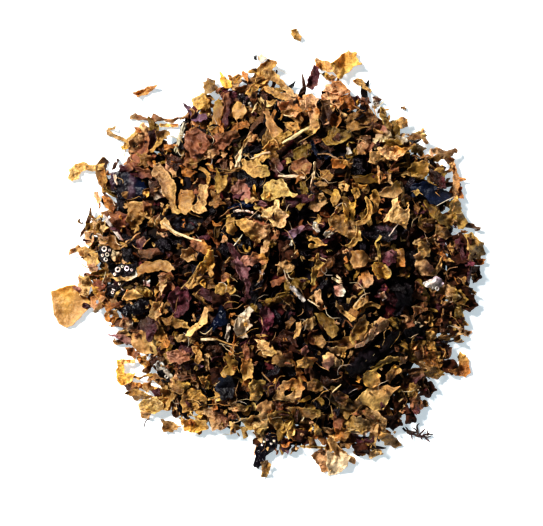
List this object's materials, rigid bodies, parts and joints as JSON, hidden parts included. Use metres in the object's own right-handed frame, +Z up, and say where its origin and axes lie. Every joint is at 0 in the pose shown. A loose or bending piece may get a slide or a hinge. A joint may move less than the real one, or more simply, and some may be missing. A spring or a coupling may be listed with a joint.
{
  "type": "irish moss",
  "caption": "Shallow round heap of cut, dried Irish moss: small curled flakes, straps and stalks, golden, russet, burgundy and black, with a few crumbs beside it.",
  "frame": {"origin": "on the surface the heap lies on, under the middle of the whole spread with its crumbs", "axes": "+Z up, +X to the right and +Y away from the viewer in the picture, which looks straight down"},
  "size_m": [0.1056, 0.1088, 0.0266],
  "materials": {
    "golden_frond": "dry, slightly glossy, thin enough to glow at the edges",
    "amber_frond": "dry and translucent, satin",
    "russet_frond": "dry, satin",
    "mauve_frond": "dry, dull",
    "burgundy_frond": "dry, satin",
    "black_frond": "dry, glossy",
    "cream_stalk": "dry, satin",
    "crusted_frond": "dark frond under a white limy crust, matt"
  },
  "bodies": {
    "root": {"golden_heap": "golden_frond", "navy_chip_right": "black_frond", "glossy_black_leaf": "black_frond", "black_strap_centre": "black_frond", "blue_black_wedge": "black_frond", "black_finger": "black_frond", "black_chip_right": "black_frond", "black_leaf_left": "black_frond", "black_chip_left": "black_frond", "black_chip_low": "black_frond", "maroon_wedge": "burgundy_frond", "mauve_fork": "mauve_frond", "magenta_ruffle": "burgundy_frond", "crimson_ruffle": "burgundy_frond", "rust_ruffle": "russet_frond", "mauve_leaf": "mauve_frond", "rose_disc": "mauve_frond", "lilac_wedge": "mauve_frond", "red_strap": "burgundy_frond", "magenta_bud": "burgundy_frond", "maroon_curl_right": "burgundy_frond", "maroon_strap_right": "burgundy_frond", "red_strap_top": "burgundy_frond", "brown_strap_top": "burgundy_frond", "russet_chip": "russet_frond", "mottled_ruffle": "russet_frond", "pink_horn": "mauve_frond", "red_leaf_low": "russet_frond", "rose_ruffle_low": "russet_frond", "rose_roll": "russet_frond", "long_straw": "cream_stalk", "short_straw": "cream_stalk", "cream_strap": "cream_stalk", "grey_stalk": "cream_stalk", "pink_stalk": "mauve_frond", "cream_twig": "cream_stalk", "white_stalk": "cream_stalk", "thin_stalk": "cream_stalk", "pale_hook": "cream_stalk", "brown_stalk": "russet_frond", "pale_chip": "cream_stalk", "cream_coral": "cream_stalk", "crusted_chip_a": "crusted_frond", "crusted_chip_b": "crusted_frond", "crusted_chip_c": "crusted_frond", "crusted_bar": "crusted_frond", "net_crust": "crusted_frond", "crusted_edge_flake": "crusted_frond", "netted_strip": "crusted_frond", "left_flake": "amber_frond", "left_arch": "amber_frond", "crumb_top_left": "amber_frond", "crumb_top": "amber_frond", "crumb_top_right": "amber_frond", "knob_right": "amber_frond", "brown_leaf_right": "russet_frond", "stray_right": "amber_frond", "stray_low": "amber_frond", "dark_sprig": "burgundy_frond"}
  },
  "joints": []
}
